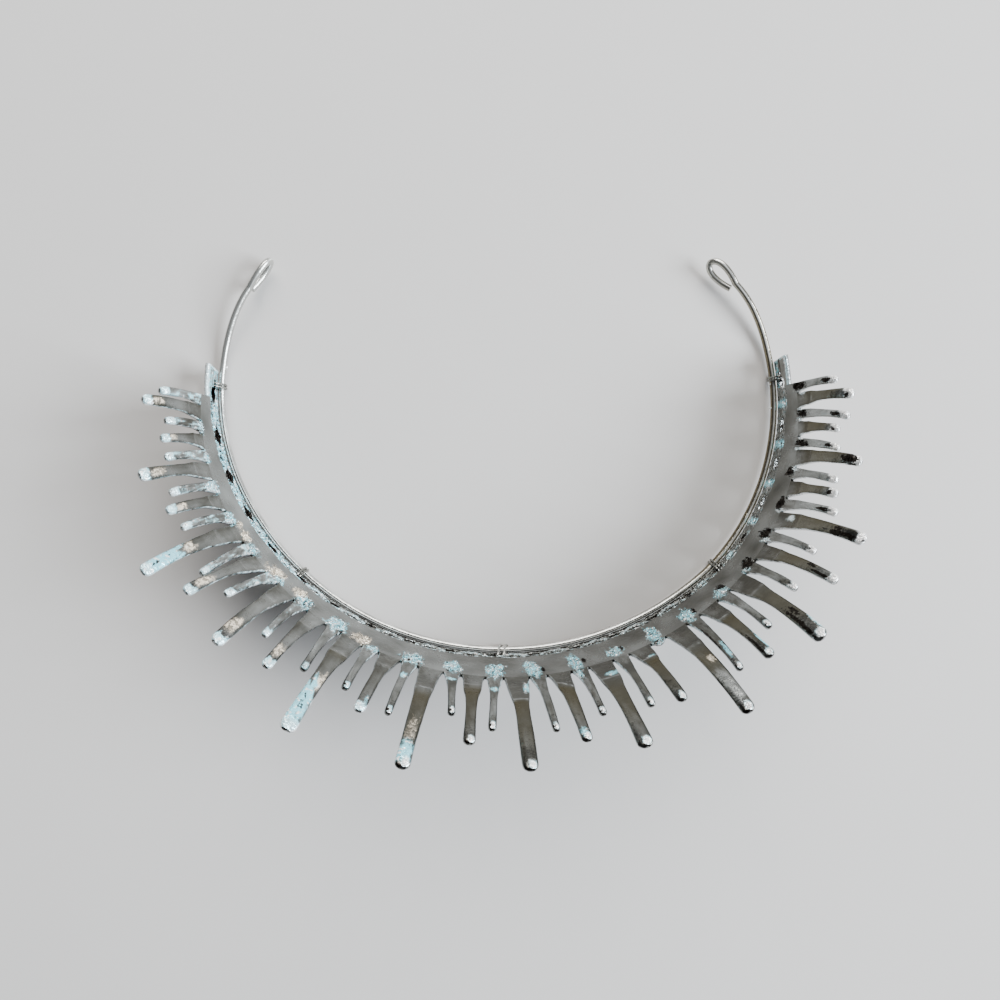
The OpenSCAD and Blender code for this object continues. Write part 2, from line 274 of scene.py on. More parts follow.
def castMetal():
    n = Nodes("castMetal")
    base = metals["castColour"]
    where = n.add("ShaderNodeTexCoord").outputs["Object"]
    crinkle = n.zone("crinkle")
    broad = n.noise(where, metals["broadScale"], 3.0)
    fine = n.noise(where, metals["fineScale"], 5.0, 0.6)
    fleck = n.noise(where, metals["fleckScale"], 3.0, 0.7)
    grain = n.noise(where, metals["grainScale"], 3.0, 0.6)
    # Crumpled plating is a crowd of small facets; each has its own tone of painted reflection.
    bend = n.add("ShaderNodeTexNoise", {"Vector": where, "Scale": 900.0}).outputs["Color"]
    swirl = n.add("ShaderNodeVectorMath", {
        0: bend, 1: 3 * (metals["facetSwirl"],), 2: where}, operation="MULTIPLY_ADD")
    cells = n.add("ShaderNodeTexVoronoi", {"Vector": swirl.outputs[0], "Scale": metals["facetScale"]})
    facet = n.add("ShaderNodeSeparateColor", {"Color": cells.outputs["Color"]}).outputs["Red"]
    # Folds run along the spikes: the noise is stretched with their height.
    stretched = n.times(n.zone("height"), metals["foldStretch"])
    flow = n.add("ShaderNodeCombineXYZ", {"X": n.zone("run"), "Y": stretched}).outputs[0]
    streak = n.noise(flow, 1500.0, 4.0, 0.65)

    def patch(name, pattern, spread, soft):
        # A zone with a ragged edge: the pattern decides where it breaks up.
        ragged = n.plus(n.zone(name), n.times(n.minus(pattern, 0.5), spread))
        return n.times(n.ramp(ragged, 0.5 - soft, 0.5 + soft), n.ramp(n.zone(name), 0.04, 0.22))

    colour = n.mix(n.ramp(broad, 0.35, 0.68), toned(base, 0.80), toned(base, 1.12))
    colour = n.mix(n.times(n.ramp(fleck, 0.60, 0.72), 0.35), colour, toned(base, 2.0))
    # Pale: painted reflection and painted highlight.
    colour = n.mix(n.zone("pale"), colour, metals["paleColour"])
    # Olive: painted reflection past the crease and painted shade along the edges away from the light.
    colour = n.mix(n.zone("olive"), colour, metals["oliveColour"])

    # Cream patches are a painted reflection of the warm light.
    creamPatch = patch("cream", fleck, 1.5, 0.36)
    creamTone = n.mix(n.ramp(facet, 0.15, 0.6), toned(metals["creamColour"], 0.3), metals["creamColour"])
    colour = n.mix(creamPatch, colour, creamTone)

    # The bright patches are a painted reflection of the cool light; their dark facets are dark painted
    # reflection.
    broken = n.plus(n.plus(n.times(streak, 0.50), n.times(facet, 0.18)), n.times(fleck, 0.32))
    brightPatch = patch("bright", broken, 1.6, 0.34)
    # Thin painted highlights follow the folds.
    fold = n.maths("ABSOLUTE", n.minus(n.noise(flow, 1150.0, 3.0, 0.6), 0.5))
    foldHighlight = n.times(n.ramp(fold, 0.024, 0.005), n.ramp(crinkle, 0.15, 0.7))
    calm = n.times(n.minus(1.0, crinkle), 0.40)
    shade = n.ramp(n.plus(facet, calm), 0.0, 0.45)
    brightTone = n.mix(shade, toned(metals["brightColour"], 0.10), metals["brightColour"])
    # Painted highlights: the fold lines, the lightest facets and the white zone.
    white = n.larger(n.larger(foldHighlight, n.ramp(facet, 0.84, 0.94)), n.zone("white"))
    brightTone = n.mix(white, brightTone, metals["glintColour"])
    colour = n.mix(brightPatch, colour, brightTone)

    # Dark patches are mostly painted shade and dark painted reflection, with some random dark freckles.
    colour = n.mix(patch("dark", fine, 2.2, 0.07), colour, metals["darkColour"])
    n.link(colour, "Base Color")
    n.link(n.minus(1.0, n.times(n.larger(brightPatch, creamPatch), metals["frosting"])), "Metallic")
    gloss = n.plus(n.times(fine, 0.16), metals["castRoughness"] - 0.08)
    n.link(n.plus(gloss, n.times(n.zone("rough"), 0.10)), "Roughness")

    # Casting skin all over, crumpled facets where the plating is rough.
    skin = n.bump(grain, 0.12, 0.00012)
    wave = n.bump(broad, 0.35, 0.0009, skin)
    height = n.plus(n.times(cells.outputs["Distance"], 0.9), n.times(facet, 0.5))
    n.link(n.bump(height, crinkle, 0.0005, wave), "Normal")
    return n.material


def wireMetal(name, colour, scratch):
    n = Nodes(name)
    where = n.add("ShaderNodeTexCoord").outputs["Object"]
    broad = n.noise(where, 300.0, 3.0)
    fine = n.noise(where, 2600.0, 4.0, 0.6)
    side = n.zone("side")

    def line(at, wide):
        near = n.maths("ABSOLUTE", n.minus(side, at))
        return n.times(n.zone("front"), n.ramp(near, wide, 0.0))

    # A dark painted reflection line and a painted highlight line run along the front; the edge line dims the
    # highlight.
    groove = line(*metals["darkReflectionLine"])
    white = n.larger(n.zone("white"), n.times(line(*metals["whiteLine"]), 0.95))
    white = n.times(white, n.minus(1.0, n.times(n.larger(groove, line(*metals["edgeLine"])), 0.85)))
    sootAndShade = n.larger(n.zone("sootAndShade"), n.times(groove, 0.70))
    tint = n.mix(n.ramp(broad, 0.35, 0.7), toned(colour, 0.85), colour)
    tint = n.mix(n.zone("olive"), tint, metals["bronzeColour"])
    tint = n.mix(white, tint, metals["whiteColour"])
    n.link(n.mix(sootAndShade, tint, metals["darkColour"]), "Base Color")
    n.link(n.minus(1.0, n.times(white, 0.6)), "Metallic")
    gloss = n.add("ShaderNodeMapRange", {
        "Value": fine, "From Min": 0.3, "From Max": 0.7,
        "To Min": metals["wireRoughness"] - 0.05, "To Max": metals["wireRoughness"] + 0.08})
    n.link(gloss.outputs["Result"], "Roughness")
    n.link(n.bump(broad, 0.3, 0.0006, n.bump(fine, scratch, 0.0002)), "Normal")
    return n.material


castFinish = castMetal()
wireFinish = wireMetal("wireMetal", metals["wireColour"], 0.12)
lashFinish = wireMetal("lashingMetal", toned(metals["wireColour"], 0.95), 0.2)
print("materials are ready")


# Collar and spikes

fringe = {
    # Height of the longest, width at the root and at the tip.
    "kinds": {"long": (47.0, 5.3, 2.5), "medium": (37.0, 4.8, 2.0), "short": (33.0, 3.5, 1.4)},
    # Height share and lean to the right in degrees, every fourth spike from the left.
    "long": [(0.55, -4.7), (0.66, -2.3), (0.89, -0.1), (0.85, -1.5), (1.02, -1.5), (1, -1.7), (0.95, 1.4),
             (0.93, 2.4), (0.98, 0.2), (0.9, -0.7), (0.78, 1.8), (0.62, -0.8), (0.53, -1.3)],
    "medium": [(0.61, -2.7), (0.76, -3.7), (0.98, -5.4), (0.99, -2), (0.96, -3.8), (1.02, -0.1),
               (1.04, 4.1), (0.96, 4.3), (1.01, 1.5), (0.97, 1.2), (0.69, 1.9), (0.59, -3.1)],
    "afterLong": [(0.62, -4.7), (0.76, -2.1), (0.9, 1.3), (0.9, -1.8), (0.94, -2.5), (0.9, 4.1), (1.04, 4.6),
                  (1.02, 2.3), (1.08, -1.2), (0.87, 1.5), (0.83, 2.1), (0.69, -5.8), (0.63, 0)],
    "beforeLong": [(0.64, -2.2), (0.69, -1.4), (0.81, -4.5), (0.86, -9), (0.96, 0.5), (1.02, -3.2),
                   (1.01, -2.3), (0.97, 4.3), (0, 0), (0.94, 1.4), (0.82, 0.2), (0.74, -2.7), (0.73, -6.1)],
    "brokenLength": 1.4,      # what is left of the spike with height share 0
    "brokenWidth": 2.2,
    "brokenRows": 6,
    # Shares of the free length, and there: width from 1 at the root to 0 at the tip.
    "widthAt": [0, 0.09, 0.26, 0.3, 0.40, 0.55, 0.76, 1],
    "plateWidth": [1, 0.80, 0.54, 0.50, 0.17, 0.05, 0, 0],
    "shortWidth": [1, 0.74, 0.36, 0.32, 0.12, 0.05, 0, 0],
    "thicknessAt": [0, 0.3, 0.85, 1],
    "thickness": [0.84, 0.95, 1.5, 1.5],
    "flatnessAt": [0, 0.25, 0.6, 1],
    "flatness": [9, 6, 3.2, 2.6],     # 2 would be an oval
    "creaseShare": 0.3,       # where the plate bends over, as a share of the free length
    "creaseLean": 19.0,
    "creaseShift": {18: -0.02, 20: -0.03, 24: -0.08, 26: 0.06, 28: -0.06, 30: -0.03},   # of single spikes
    "creaseHeight": 0.10,
    "creaseRows": 0.006,      # how far from the crease the two rows beside it lie, as a share
    "endShare": 0.045,        # of the free length, where the rows crowd for the round end
    "beadPlace": 0.87,        # the plates' raised edges: place across, half width, height share
    "beadHalf": 0.09,
    "beadHeight": 0.16,
    "rootLoss": 0.34,         # how much narrower the last roots are, as a share
    "crowding": 0.134,        # how much closer the last spikes stand
    "collarThinning": 0.08,
    "tipLean": 41.0,
    "collarBottom": 5.7,
    "columns": 12,
    "collarRows": 30,
    "plateRows": 36,
    "endGain": {"long": -0.22, "medium": -0.18, "short": 0.14},   # tips' widths towards the ends
    "tipScale": 1.06,
    "bow": 0.02,              # how far the spikes bend sideways, as a share of their length
    "waves": 0.05,
    "ridges": 0.6,
}
kindNumbers = {"long": 1, "medium": 2, "short": 3}


def listSpikes():
    rows = []
    for kind, size, first in (("long", "long", 2), ("medium", "medium", 4),
                              ("afterLong", "short", 3), ("beforeLong", "short", 1)):
        tall, rootWidth, tipWidth = fringe["kinds"][size]
        for i, (share, lean) in enumerate(fringe[kind]):
            number = first + 4 * i
            v = (number - 26) / 25
            s0 = spikeSpan * (v + fringe["crowding"] * (v - v ** 3))
            slim = (s0 / spikeSpan) ** 2
            low = float(valley(s0))
            broken = share == 0
            tip = fringe["brokenWidth"] if broken else fringe["tipScale"] * tipWidth
            rows.append({
                "crease": fringe["creaseShare"] + fringe["creaseShift"].get(number, 0),
                "number": number, "size": size, "s0": s0, "low": low, "lean": math.radians(lean),
                "free": fringe["brokenLength"] if broken else share * tall - low,
                "root": rootWidth * (1 - fringe["rootLoss"] * slim),
                "tip": tip * (1 + fringe["endGain"][size] * slim),
                "broken": broken})
    return sorted(rows, key=lambda row: row["number"])


def bendOf(spike, u):
    # Lean, reach and rise along a spike: straight to the crease, a small kink, then an even bend.
    steps, kinkHalf = 240, 0.02
    fineU = np.linspace(0, 1, steps + 1)
    crease = fringe["creaseShare"]
    leans = (tiara["collarLean"], fringe["creaseLean"], fringe["tipLean"])
    start, kink, end = (math.radians(a) for a in leans)
    lean = np.where(fineU < crease, start, kink + (end - kink) * (fineU - crease) / (1 - crease))
    soft = unit((fineU - crease + kinkHalf) / (2 * kinkHalf))
    lean = np.where(np.abs(fineU - crease) < kinkHalf, start + (kink - start) * soft, lean)
    _, reach, rise = wallCurve(spike["low"])
    step = spike["free"] / steps
    reach = reach + np.concatenate([[0], np.cumsum(np.sin(lean[:-1]) * step)])
    rise = rise + np.concatenate([[0], np.cumsum(np.cos(lean[:-1]) * step)])
    return np.interp(u, fineU, lean), np.interp(u, fineU, reach), np.interp(u, fineU, rise)


def plateShares(spike):
    # Where the rows of a spike lie, close together at the crease and at the round end.
    if spike["broken"]:
        return np.arange(1, fringe["brokenRows"] + 1) / fringe["brokenRows"]
    endShare, apart = fringe["endShare"], fringe["creaseRows"]
    return np.sort(np.concatenate([
        (1 - endShare) * np.linspace(0, 1, fringe["plateRows"] + 1)[1:] ** 1.35,
        [spike["crease"] - apart, spike["crease"] + apart],
        1 - endShare * (1 - np.sin(np.pi / 2 * np.linspace(0, 1, 9)[1:]))]))


def buildFringe():
    spikes = listSpikes()
    columns = fringe["columns"]
    bounds = [-spikeSpan - tiara["spikeMargin"]]
    for a, b in zip(spikes[:-1], spikes[1:]):
        bounds.append(a["s0"] + (b["s0"] - a["s0"]) * a["root"] / (a["root"] + b["root"]))
    bounds.append(spikeSpan + tiara["spikeMargin"])
    spread = np.sin(np.pi / 2 * np.linspace(-1, 1, columns + 1))
    points, faces = [], []
    data = {name: [] for name in ("run", "t", "u", "x", "kind", "number", "inward")}

    def keep(surface, inward, run, t, u=0, x=0, kind=0, number=0):
        # Stores a surface's points and where on the tiara each of them lies.
        points.append(surface)
        for name, values in zip(data, (run, t, u, x, kind, number, inward)):
            data[name].append(np.broadcast_to(values, run.shape).ravel())

    # The collar is one grid under all the spikes.
    across = [bounds[0]]
    for k, spike in enumerate(spikes):
        left, right = spike["s0"] - bounds[k], bounds[k + 1] - spike["s0"]
        for x in spread[1:]:
            across.append(spike["s0"] + x * (left if x < 0 else right))
    across = np.array(across)
    rows = fringe["collarRows"]
    up = np.linspace(0, 1, rows + 1)[:, None]
    t = fringe["collarBottom"] + up * (valley(across)[None, :] - fringe["collarBottom"])
    s = np.repeat(across[None, :], rows + 1, 0)
    half = np.full(s.shape, tiara["wallThickness"] / 2) - fringe["collarThinning"] * up ** 2
    keep(wallPoint(s.ravel(), t.ravel(), -half.ravel()), 1, s, t)
    keep(wallPoint(s.ravel(), t.ravel(), half.ravel()), -1, s, t)
    frontId = np.arange(s.size).reshape(s.shape)
    backId = frontId + s.size
    for i in range(rows):
        faces += stripFaces(frontId[i], frontId[i + 1])
        faces += stripFaces(backId[i], backId[i + 1], True)
    faces += stripFaces(frontId[0], backId[0], True)
    for j, flip in ((0, True), (-1, False)):
        faces += stripFaces(frontId[:, j], backId[:, j], flip)
    nextId = 2 * s.size

    firstRims, lastRims = [], []
    for k, spike in enumerate(spikes):
        crease, low, free = spike["crease"], spike["low"], spike["free"]
        plate = spike["size"] != "short"
        u = plateShares(spike)
        n = len(u)
        x, uu = spread[None, :], u[:, None]
        lean, reach, rise = bendOf(spike, u)
        narrow = np.interp(u, fringe["widthAt"], fringe["plateWidth" if plate else "shortWidth"])
        narrow = np.convolve(np.pad(narrow, 1, mode="edge"), [0.25, 0.5, 0.25], "valid")
        width = (spike["tip"] + (spike["root"] - spike["tip"]) * narrow) / 2
        width *= 1 + 0.05 * np.sin(9 * u + spike["number"]) * unit(u * 4)
        # The end closes in a blunt round.
        roundShare = 1.1 * spike["tip"] / (2 * free)
        close = np.sqrt(unit(1 - (0.93 * unit((u - 1 + roundShare) / roundShare)) ** 2.6))
        width *= close
        arch = unit(1 - (u * free / 1.5) ** 0.5)
        leftSide = width + (spike["s0"] - bounds[k] - spike["root"] / 2) * arch
        rightSide = width + (bounds[k + 1] - spike["s0"] - spike["root"] / 2) * arch
        thick = np.interp(u, fringe["thicknessAt"], fringe["thickness"]) / 2 * (0.25 + 0.75 * close)
        flat = np.interp(u, fringe["flatnessAt"], fringe["flatness"])[:, None]
        crown = unit(1 - np.abs(x) ** flat) ** (1 / flat)
        bead = fringe["beadHeight"] * hill(np.abs(x) - fringe["beadPlace"], fringe["beadHalf"])
        bead = 1 + bead * unit(1 - uu / 0.7)
        d = thick[:, None] * crown * bead
        # A thin raised line runs across the plate at the crease.
        line = plate * fringe["creaseHeight"] * hill((uu - crease - 0.012 * (1 - x ** 2)) * free, 0.35)
        level = valley(across[k * columns: (k + 1) * columns + 1])[None, :] - low
        tt = low + uu * free + level * unit(1 - uu / 0.12)
        bow = fringe["bow"] * free * max(-1.0, min(1.0, 1.6 * spike["s0"] / spikeSpan))
        ss = spike["s0"] + (tt - low) * math.tan(spike["lean"]) + bow * 4 * uu * (1 - uu)
        ss = ss + np.where(x < 0, x * leftSide[:, None], x * rightSide[:, None])
        shift = ((tt - low) / free - uu) * free
        cosLean, sinLean = np.cos(lean)[:, None], np.sin(lean)[:, None]
        rr = reach[:, None] + shift * sinLean
        zz = rise[:, None] + shift * cosLean

        def surface(offset):
            return place(ss.ravel(), (rr + offset * cosLean).ravel(), (zz - offset * sinLean).ravel())

        middle = slice(1, -1)      # the outer side shares its edges with the inner one
        own = {"kind": kindNumbers[spike["size"]], "number": spike["number"]}
        outer = surface(d).reshape(n, columns + 1, 3)[:, middle].reshape(-1, 3)
        keep(surface(-d - line * crown), 1, ss, tt, uu, x, **own)
        keep(outer, -1, ss[:, middle], tt[:, middle], uu, x[:, middle], **own)
        inId = nextId + np.arange(n * (columns + 1)).reshape(n, columns + 1)
        nextId += n * (columns + 1)
        outId = inId.copy()
        outId[:, middle] = nextId + np.arange(n * (columns - 1)).reshape(n, columns - 1)
        nextId += n * (columns - 1)
        collarFront = frontId[-1, k * columns: (k + 1) * columns + 1]
        collarBack = backId[-1, k * columns: (k + 1) * columns + 1]
        faces += stripFaces(collarFront, inId[0])
        faces += stripFaces(collarBack, outId[0], True)
        for i in range(n - 1):
            faces += stripFaces(inId[i], inId[i + 1])
            faces += stripFaces(outId[i], outId[i + 1], True)
        # The end cap: corners first, then the row between.
        faces.append((inId[-1, 0], inId[-1, 1], outId[-1, 1]))
        faces += stripFaces(inId[-1, middle], outId[-1, middle])
        faces.append((inId[-1, -2], inId[-1, -1], outId[-1, -2]))
        firstRims.append((collarFront[0], collarBack[0], inId[0, 0]))
        lastRims.append((collarBack[-1], collarFront[-1], inId[0, -1]))
    faces += firstRims + lastRims
    return np.concatenate(points), faces, {name: np.concatenate(values) for name, values in data.items()}


looks = {
    # Rough places at the roots, painted with reflections and shade: spike, shift to the right and up from
    # the valley, half width and half height in millimetres, strength.
    "roots": {
        "bright": [(3, 0, 0.4, 2, 1.2, 0.7), (5, 0.3, 0.2, 2, 1.6, 0.75), (7, 0.2, 1.6, 2, 2.8, 1.1),
            (9, 0.4, 0.6, 2, 2.6, 0.95), (11, 0.6, -0.6, 2.2, 2.4, 0.95), (13, 1.2, -0.9, 1.6, 1.6, 1),
            (15, 0.1, -1.4, 2.3, 3, 1.1), (17, 0.2, -2, 2.8, 3.6, 1.2), (19, 0.3, 0.2, 1.8, 2.2, 0.7),
            (21, 0, -2.2, 2.6, 3.2, 1.05), (23, 0.2, -2.6, 2.2, 3.2, 1.2), (25, 0.2, -3, 2.3, 4, 1.3),
            (27, -0.7, -3.2, 1.9, 4.4, 1.3), (27, -1.9, 3.6, 0.8, 3.4, 0.8), (29, -0.4, -3, 1.5, 4.2, 1.2),
            (29, -0.6, 2.6, 0.9, 2.4, 0.8), (31, -0.5, -3.2, 2.3, 2.4, 1.1), (33, 0, -2.6, 1.6, 5, 1.3),
            (35, -0.2, -2.6, 2, 3.4, 1.15), (37, 0.2, -1.4, 2, 2.6, 0.9), (39, -0.9, 0.2, 0.9, 1.6, 1),
            (41, -1.1, 0, 0.8, 1.8, 1), (43, -1.4, -0.2, 0.7, 1.8, 1), (45, 1, 0.6, 0.7, 1.6, 1),
            (47, -1.2, 0.8, 0.45, 1.8, 1.1), (47, 1.2, 1, 0.45, 1.2, 1), (49, -1.2, 0.8, 0.45, 1.2, 1.2),
            (49, 1.2, 1, 0.45, 1.2, 1.1), (51, -1.3, 2, 0.5, 1.6, 1.1)],
        "cream": [(9, 1.8, -1.6, 1.3, 1.6, 0.8), (11, -2.6, -1.8, 2, 2, 1), (13, -0.9, -2.6, 2.8, 2.8, 1),
            (15, -1.9, -3.4, 2.4, 2.6, 1), (19, -2.8, -2, 2.4, 2.8, 1.1)],
        "dark": [(37, 1.4, -3, 1.6, 1.6, 0.9), (39, 0.6, -1.4, 1.9, 2.6, 1), (41, 0.4, -1.6, 1.8, 2.4, 1),
            (43, 0.3, -1, 1.5, 1.7, 1.1), (45, 0.2, -0.8, 1.3, 1.7, 1.1), (47, 0, 1.8, 0.9, 2.8, 1.2),
            (49, 0, 1.4, 0.9, 2, 1.2), (51, 0.4, 1.2, 1.2, 2.4, 1.2), (15, 0.6, -0.6, 0.4, 0.6, 1.1),
            (17, 1.6, -0.2, 0.5, 0.8, 1.1), (21, -0.6, -1.2, 0.4, 0.6, 1.2),
            (21, 1.6, -0.8, 0.4, 0.7, 1.2), (23, -1, -0.6, 0.4, 0.6, 1.2), (27, 1.6, -2.6, 0.5, 1.2, 1.1),
            (29, 1.7, -3.4, 0.5, 1.4, 1.1), (31, 1.3, -3.4, 0.5, 1.5, 1.2),
            (35, 1.6, -2.6, 0.6, 1.6, 1.2)],
    },
    # Painted reflections and painted shade on single spikes: spike, share of the length, place across from
    # -1 to 1, half length and half width in the same shares, strength.
    "spikes": {
        "bright": [(1, 0.32, 0.3, 0.12, 0.6, 1.1), (10, 0.84, 0, 0.19, 1.6, 1.7),
            (18, 0.8, -0.2, 0.19, 1.1, 1.6), (20, 0.85, 0.4, 0.06, 0.4, 0.7), (21, 0.36, 0, 0.07, 0.9, 1),
            (22, 0.9, -0.1, 0.09, 1.2, 1.1), (23, 0.24, 0, 0.06, 0.9, 0.9), (25, 0.35, 0, 0.06, 0.9, 0.9),
            (26, 0.2, 0.7, 0.1, 0.3, 1.1), (28, 0.92, 0, 0.05, 0.9, 0.9), (30, 0.22, 0.4, 0.05, 0.7, 0.8),
            (32, 0.26, 0.2, 0.03, 0.6, 0.7), (35, 0.72, 0.2, 0.14, 0.5, 1),
            (36, 0.8, 0.85, 0.15, 0.25, 1.2), (38, 0.88, 0.9, 0.08, 0.25, 1.2),
            (42, 0.2, 0.3, 0.06, 0.5, 0.9)],
        "cream": [(10, 0.6, 0.1, 0.07, 0.9, 1.1), (12, 0.8, 0, 0.11, 0.9, 0.8),
            (14, 0.8, 0, 0.1, 0.9, 0.85), (16, 0.8, 0, 0.09, 0.9, 0.85), (18, 0.63, 0.4, 0.1, 0.6, 1),
            (22, 0.72, 0, 0.14, 0.9, 0.42), (34, 0.52, 0.3, 0.04, 0.4, 1)],
        "pale": [(34, 0.8, 0, 0.17, 0.8, 1.3)],
        "dark": [(34, 0.8, -1, 0.15, 0.22, 1.1), (34, 0.7, 1, 0.06, 0.2, 0.9),
            (35, 0.5, -0.8, 0.25, 0.3, 0.9), (36, 0.82, -0.6, 0.15, 0.3, 1.1),
            (38, 0.8, -0.5, 0.18, 0.3, 1.2), (38, 0.72, 0.2, 0.07, 0.4, 0.8),
            (40, 0.8, -0.4, 0.16, 0.35, 1.1), (40, 0.72, 0.5, 0.06, 0.4, 0.7),
            (42, 0.8, -0.4, 0.17, 0.5, 1.3), (42, 0.76, 0.5, 0.07, 0.4, 0.8), (43, 0.78, 0, 0.12, 0.6, 1),
            (44, 0.88, -0.1, 0.05, 0.6, 1.1), (46, 0.86, 0, 0.11, 0.9, 1.4), (47, 0.8, 0, 0.07, 0.6, 1),
            (48, 0.9, -0.2, 0.04, 0.5, 1), (49, 0.8, 0, 0.1, 0.6, 1), (50, 0.92, -0.5, 0.04, 0.5, 1.1),
            (51, 0.8, 0, 0.12, 0.6, 1)],
    },
}


def fringeZones(points, data):
    # Where the casting is crumpled, and where olive, cream, bright and dark painted reflections and painted
    # shade lie, from the place on each spike.
    run, t, u, x, kind, number = (data[name] for name in ("run", "t", "u", "x", "kind", "number"))
    inner = data["inward"] > 0
    speckle = ripple(points, 1.1, 1)
    streaks = ripple(np.stack([run, 0.28 * t, data["inward"]], 1), 0.55, 3)
    cloud = ripple(points, 7.0, 2, 2)
    lines = unit((-streaks - 0.30) / 0.12)
    share = run / spikeSpan
    toRight = unit((share - 0.45) / 0.25)
    toLeft = unit((-share - 0.34) / 0.27)
    front = (1 - toLeft) * (1 - toRight)
    onSpike = kind > 0
    big = onSpike & (kind < 3)
    short = kind == 3
    spikes = {spike["number"]: spike for spike in listSpikes()}
    zones = {name: np.zeros(len(points)) for name in ("bright", "cream", "dark", "crinkle", "pale")}

    def ofSpike(key, onCollar):
        # A value of the spike that each point lies on.
        return np.array([spikes[k][key] if k else onCollar for k in number])

    def lift(zone, value, rows=slice(None)):
        zones[zone][rows] = np.maximum(zones[zone][rows], value)

    def addPatch(zone, distance, strength, rows):
        ragged = 0.30 * speckle[rows] + 0.50 * streaks[rows]
        value = unit(1.40 - 1.2 * distance + ragged) * strength
        lift(zone, value, rows)
        return value

    for zone, patches in looks["roots"].items():
        for n, dx, dt, wide, high, strength in patches:
            spike = spikes[n]
            up = t - spike["low"]
            across = run - spike["s0"] - up * math.tan(spike["lean"])
            rows = np.where((np.abs(across - dx) < 1.6 * wide) & (np.abs(up - dt) < 1.6 * high) & inner)[0]
            distance = np.hypot((across[rows] - dx) / wide, (up[rows] - dt) / high)
            value = addPatch(zone, distance, strength, rows)
            lift("crinkle", unit(value * 1.4), rows)
    for zone, patches in looks["spikes"].items():
        for n, at, across, tall, wide, strength in patches:
            rows = np.where((number == n) & (np.abs(u - at) < 1.6 * tall) & inner)[0]
            du, dx = np.abs(u[rows] - at) / tall, np.abs(x[rows] - across) / wide
            value = unit(addPatch(zone, (du ** 3 + dx ** 3) ** (1 / 3), strength, rows))
            if zone in ("bright", "cream"):
                # Dark painted reflection lines run along the bright places.
                lift("dark", 0.55 * value * lines[rows], rows)
            lift("crinkle", 0.22 * value, rows)

    # Every tip ends in a painted highlight; its outermost end is painted shade, dark brown, at the front.
    fromEnd = (1 - u) * ofSpike("free", 10.0)
    whole = onSpike & ~ofSpike("broken", False)
    tip = whole * unit((2.0 + 0.5 * speckle - fromEnd) / 0.4)
    tip = tip * np.where((toRight > 0.5) & (np.abs(x) < 0.45) & (fromEnd > 1.1), 0.35, 1)
    # glint and bead are round painted highlights on the tips; crescent and dot are painted shade.
    glint = unit(2.2 - 1.7 * np.hypot((fromEnd - 0.85) / 0.85, (x - 0.3) / 0.5))
    bead = unit(2.1 - 1.7 * np.hypot((fromEnd - 0.85) / 0.85, (x - 0.1) / 0.7))
    small = front * (number > np.where(short, 16, 20))      # tips with a small highlight only
    tip = tip * (1 - small * (1 - np.where(big, glint, bead)))
    end = whole * unit((0.15 - fromEnd) / 0.12) * (1 - toRight) * (0.55 + 0.2 * front)
    crescent = 0.8 * big * unit((0.50 - fromEnd - 0.45 * x) / 0.35) * (x < 0.05)
    dot = short * (np.hypot((fromEnd - 0.85) / 0.42, (x + 0.35) / 0.42) < 1)
    end = np.maximum(end, small * np.maximum(crescent, dot) * (0.72 + 0.25 * speckle))
    lift("bright", 1.15 * tip * (1 - end) * inner)
    lift("pale", 0.8 * tip)
    lift("dark", end * np.where(inner, 1, 0.5))
    lift("crinkle", 0.4 * tip)

    # The left plates carry a speckled cream painted reflection before their tips, the left short spikes a
    # pale painted reflection all along.
    beforeTip = unit(1 - (np.abs(u - 0.80) / 0.10) ** 4) * unit(1.5 - 1.6 * np.abs(x))
    lift("cream", toLeft * big * beforeTip * unit(0.8 + 0.5 * speckle))
    shiny = toLeft * short * unit(0.26 + 0.60 * streaks + 0.5 * unit(1 - u / 0.2))
    lift("bright", shiny * inner)

    # Painted reflection: lighter towards the left end, lighter fingers, light again near the tips; the sheen
    # is a painted highlight.
    collar = kind == 0
    pale = 0.06 + toLeft * (0.36 * collar + 0.22 * big + 0.42 * short)
    pale = pale + toRight * (0.26 * collar + 0.14 * big + 0.34 * short)
    pale = pale + front * (0.24 * collar + big * (unit((u - 0.4) / 0.5) * 0.13 - 0.10))
    pale = pale + 0.05 * short * unit(1 - np.abs(share) / 0.6)
    slope = unit(-share) * (0.25 + 0.45 * onSpike) * (1 - toLeft)
    sheen = big * (np.where(share < 0, 1, -1) * x * 0.14 - 0.16 * hill(np.abs(x) - 0.8, 0.15))
    streaky = streaks * (0.12 * big + (0.22 + 0.25 * toLeft) * short)
    zones["pale"] = unit(np.maximum(pale + slope + 0.32 * cloud + sheen + streaky, zones["pale"]))
    freckle = unit((ripple(points, 0.8, 4, 2) - 0.42) / 0.1) * (short * toLeft * 0.9 + 0.5 * onSpike * front)
    lift("dark", 0.50 * freckle * inner)

    # Past the crease the plates carry an olive painted reflection, which fades towards the tip.
    arc = (0.035 + 0.03 * np.sin(number * 3.1)) * (1 - x ** 2)
    crease = ofSpike("crease", 0.3) + 0.07 * x * (number == 28) + 0.012 - arc + 0.02 * np.sin(number * 2.3)
    soft = np.where(number == 26, 0.03, 0.06 + 0.07 * (1 + np.sin(number * 1.7)))
    past = unit((u - crease) / soft) * unit((0.92 - u) / 0.55)
    pastRight = unit((u - 0.08) / 0.16) * unit((0.84 - u) / 0.12)
    fade = np.clip((share + 0.28) / 0.10, 0.25, 1)
    olive = big * (past * (1 - toRight) * (1 - 0.75 * toLeft) * fade + pastRight * toRight * 0.72)
    olive = olive + 0.7 * (number == 18) * hill(u - crease - 0.035, 0.035)
    olive = np.clip(olive * (0.85 + 0.55 * cloud), 0, 0.95) + 0.20 * toLeft * big * unit(1 - u / 0.5)
